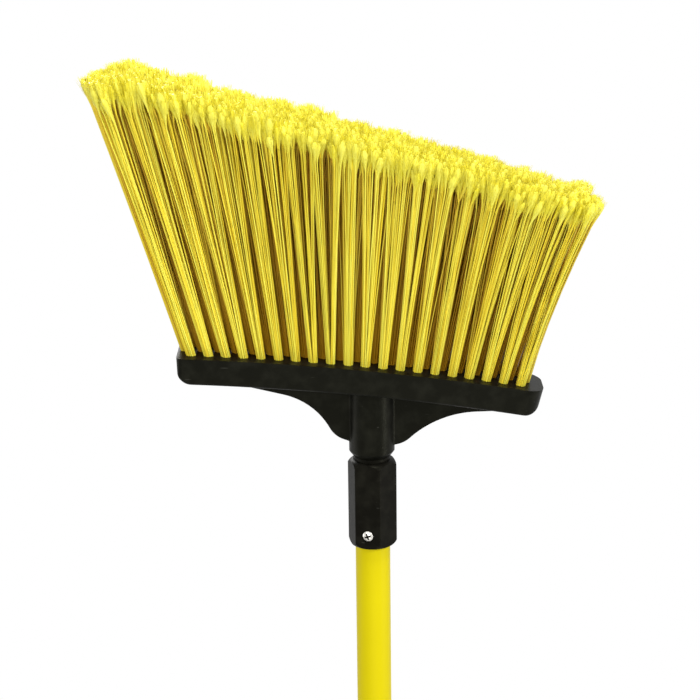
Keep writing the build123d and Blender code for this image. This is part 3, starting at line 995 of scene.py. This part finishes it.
curl = add(rule, "ShaderNodeMath", {0: rise_squared, 1: FLAG_CURL}, operation="MULTIPLY")
curled = add(rule, "ShaderNodeVectorMath", {0: splay_of, "Scale": curl}, operation="SCALE")
flags = add(rule, "GeometryNodeSetPosition", {"Geometry": flags, "Offset": curled})
flag_radius = add(rule, "ShaderNodeMath", {0: stem_radius, 1: FLAG_SHARE}, operation="MULTIPLY")
flag_edge = add(rule, "ShaderNodeCombineXYZ", {"X": flag_radius})
far_edge = add(rule, "ShaderNodeVectorMath", {0: flag_edge, "Scale": -1.0}, operation="SCALE")
flag_section = add(rule, "GeometryNodeCurvePrimitiveLine", {"Start": far_edge, "End": flag_edge})
thinner = add(rule, "ShaderNodeMapRange", {"Value": rise, "To Min": 1.0, "To Max": FLAG_POINT})
flag_height = add(
    rule, "ShaderNodeMath", {0: rise, 1: FLAG_PART, 2: 1 + FLAG_FROM}, operation="MULTIPLY_ADD"
)
print("slivers shaped in", FLAG_STEPS - 1, "steps each")

# %% [markdown]
# ## Whole bristles
# Heads and slivers get their sections as the stems did, and note their height, which the material
# reads. A ribbon has no ends to close. Stems, heads and slivers are joined, shaded smooth, made
# into one plain mesh and given the filament's material.

# %% Join stems and tips
tips = []
for lines, section, thickness, tip_height, capped in (
    (heads, head_section, fullness, head_height, True),
    (flags, flag_section, thinner, flag_height, False),
):
    lines = add(
        rule,
        "GeometryNodeStoreNamedAttribute",
        {"Geometry": lines, "Name": "height", "Value": tip_height},
        data_type="FLOAT",
        domain="POINT",
    )
    tips.append(
        add(
            rule,
            "GeometryNodeCurveToMesh",
            {"Curve": lines, "Profile Curve": section, "Scale": thickness, "Fill Caps": capped},
        )
    )
grown = add(rule, "GeometryNodeJoinGeometry")
for part in (stems, *tips):
    rule.links.new(part.outputs[0], grown.inputs[0])
grown = add(rule, "GeometryNodeSetShadeSmooth", {"Geometry": grown})
grown = add(rule, "GeometryNodeRealizeInstances", {"Geometry": grown})
grown = add(rule, "GeometryNodeSetMaterial", {"Geometry": grown, "Material": given["Material"]})
add(rule, "NodeGroupOutput", {"Bristles": grown})
print("growing rule finished with", len(rule.nodes), "nodes")

# %% [markdown]
# ## Growing the rows
# Each row runs the rule with a seed of its own, is frozen to a plain mesh, takes the place of the
# CAD model's stout strands, and moves with the broom's head. The middle row's stems are seen only
# through the gaps of the others, where they stand for the depth of the broom, so its filaments are
# thicker, spread evenly and have fewer slivers.

# %% Grow the three rows
# The middle row stands deeper inside the broom, so its stems get more of the painted brown shade
MIDDLE_OWN = {
    "Along": 0.062,
    "Across": 0.085,
    "Stick": 0.0,
    "Stray": 0.004,
    "Depth": 0.6,
    "Width": 1.3 * MM,
    "Filaments": 56,
    "Flags": 14,
}


def grow(piece, own):
    """Run the growing rule on a planted row, with its own inputs, and keep the result as its mesh."""
    modifier = piece.modifiers.new("grow", "NODES")
    modifier.node_group = rule
    sockets = {s.name: s.identifier for s in rule.interface.items_tree if s.in_out == "INPUT"}
    for name, value in {**FLOATS, **COUNTS, **own, "Material": bristle_pet}.items():
        modifier[sockets[name]] = value
    depsgraph = bpy.context.evaluated_depsgraph_get()
    mesh = bpy.data.meshes.new_from_object(
        piece.evaluated_get(depsgraph), preserve_all_data_layers=True, depsgraph=depsgraph
    )
    piece.modifiers.clear()
    piece.data = mesh


for number, (row, piece) in enumerate(planted.items()):
    outside = float(ROWS[row][2])
    own = {"Seed": COUNTS["Seed"] + number, "Outside": outside}
    if row == "middle":
        own.update(MIDDLE_OWN)
    grow(piece, own)
    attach(piece, "head")
    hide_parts(f"bristles_{row}_row")
    print(row, "row:", len(piece.data.polygons), "faces")

# %% [markdown]
# ## Stage
# The broom hangs in white space in the photograph. A small floor under it takes its shadow when it
# is seen from elsewhere. Its white paper fades to clear before the rim, so that no edge shows.

# %% Build the stage
FLOOR_RADIUS = 1.3
FLOOR_DROP = 1.0 * MM
FLOOR_SIDES = 96
PAPER_COLOUR = "F4F4F4"

# Shares of the floor's radius where it starts to fade and is clear
FADE_FROM = 0.3
FADE_FULL = 0.95

floor_z = cad_box[0].z - FLOOR_DROP
turns = [2 * math.pi * number / FLOOR_SIDES for number in range(FLOOR_SIDES)]
rim = [(FLOOR_RADIUS * math.cos(a), FLOOR_RADIUS * math.sin(a), floor_z) for a in turns]
floor_mesh = bpy.data.meshes.new("floor")
floor_mesh.from_pydata(rim, [], [range(FLOOR_SIDES)])
floor = bpy.data.objects.new("floor", floor_mesh)
scene.collection.objects.link(floor)

paper, tree, surface = new_material("white_paper")
place = add(tree, "ShaderNodeTexCoord").outputs["Object"]
flat = add(tree, "ShaderNodeVectorMath", {0: place, 1: (1.0, 1.0, 0.0)}, operation="MULTIPLY")
far = add(tree, "ShaderNodeVectorMath", {0: flat}, operation="LENGTH").outputs["Value"]
fade = add(
    tree,
    "ShaderNodeMapRange",
    {"Value": far, "From Min": FADE_FROM * FLOOR_RADIUS, "From Max": FADE_FULL * FLOOR_RADIUS},
    interpolation_type="SMOOTHSTEP",
)
surface.inputs["Base Color"].default_value = colour(PAPER_COLOUR)
surface.inputs["Roughness"].default_value = 0.9
clear = add(tree, "ShaderNodeBsdfTransparent")
mixed = add(tree, "ShaderNodeMixShader", {0: fade, 1: surface, 2: clear})
output = next(node for node in tree.nodes if node.type == "OUTPUT_MATERIAL")
tree.links.new(mixed.outputs[0], output.inputs["Surface"])
floor_mesh.materials.append(paper)
print("floor at", round(floor_z, 4))

# %% [markdown]
# ## Light
# Eight soft lamps stand round the broom, as in a photographer's white room: the key at the right
# and a weaker one at the left, both above the camera, one in front, one overhead for the tips, two
# low at the sides for the edges of the black plastic, one below and one behind. The camera and
# mirrored rays see a pure white room, and the room's own light is weaker, so that shadows stay.

# %% Light the scene
AMBIENT = 0.36
WHITE = colour("FFFFFF")
AIM = Vector((0.0, 0.0, 0.42))

# Each lamp's place and size in metres, and its power in watts
LAMPS = {
    "key": ((1.5, -1.3, 1.7), 0.5, 17.0),
    "left": ((-1.3, -1.2, 1.7), 0.5, 4.0),
    "rim": ((-1.7, 0.2, 0.1), 0.9, 4.6),
    "side": ((1.65, -0.7, -0.1), 0.5, 7.0),
    "front": ((-0.2, -1.6, 0.9), 0.8, 10.4),
    "top": ((0.2, -0.4, 2.1), 0.6, 23.0),
    "bounce": ((0.1, -1.0, -0.6), 0.8, 2.0),
    "back": ((-0.6, 1.7, 1.2), 0.8, 19.0),
}

world = bpy.data.worlds.new("white_room")
scene.world = world
world.use_nodes = True
tree = world.node_tree
tree.nodes.clear()
seen = add(tree, "ShaderNodeBackground", {"Color": WHITE, "Strength": 1.0})
room = add(tree, "ShaderNodeBackground", {"Color": WHITE, "Strength": AMBIENT})
rays = add(tree, "ShaderNodeLightPath").outputs
looks = rays["Is Camera Ray"]
for kind in ("Is Glossy Ray", "Is Transmission Ray"):
    looks = add(tree, "ShaderNodeMath", {0: looks, 1: rays[kind]}, operation="MAXIMUM")
either = add(tree, "ShaderNodeMixShader", {0: looks, 1: room, 2: seen})
add(tree, "ShaderNodeOutputWorld", {"Surface": either})

for name, (place, size, power) in LAMPS.items():
    lamp = bpy.data.objects.new(name, bpy.data.lights.new(name, "AREA"))
    scene.collection.objects.link(lamp)
    lamp.data.size = size
    lamp.data.energy = power
    lamp.location = place
    lamp.rotation_euler = (AIM - lamp.location).to_track_quat("-Z", "Y").to_euler()
print("lamps:", ", ".join(LAMPS))
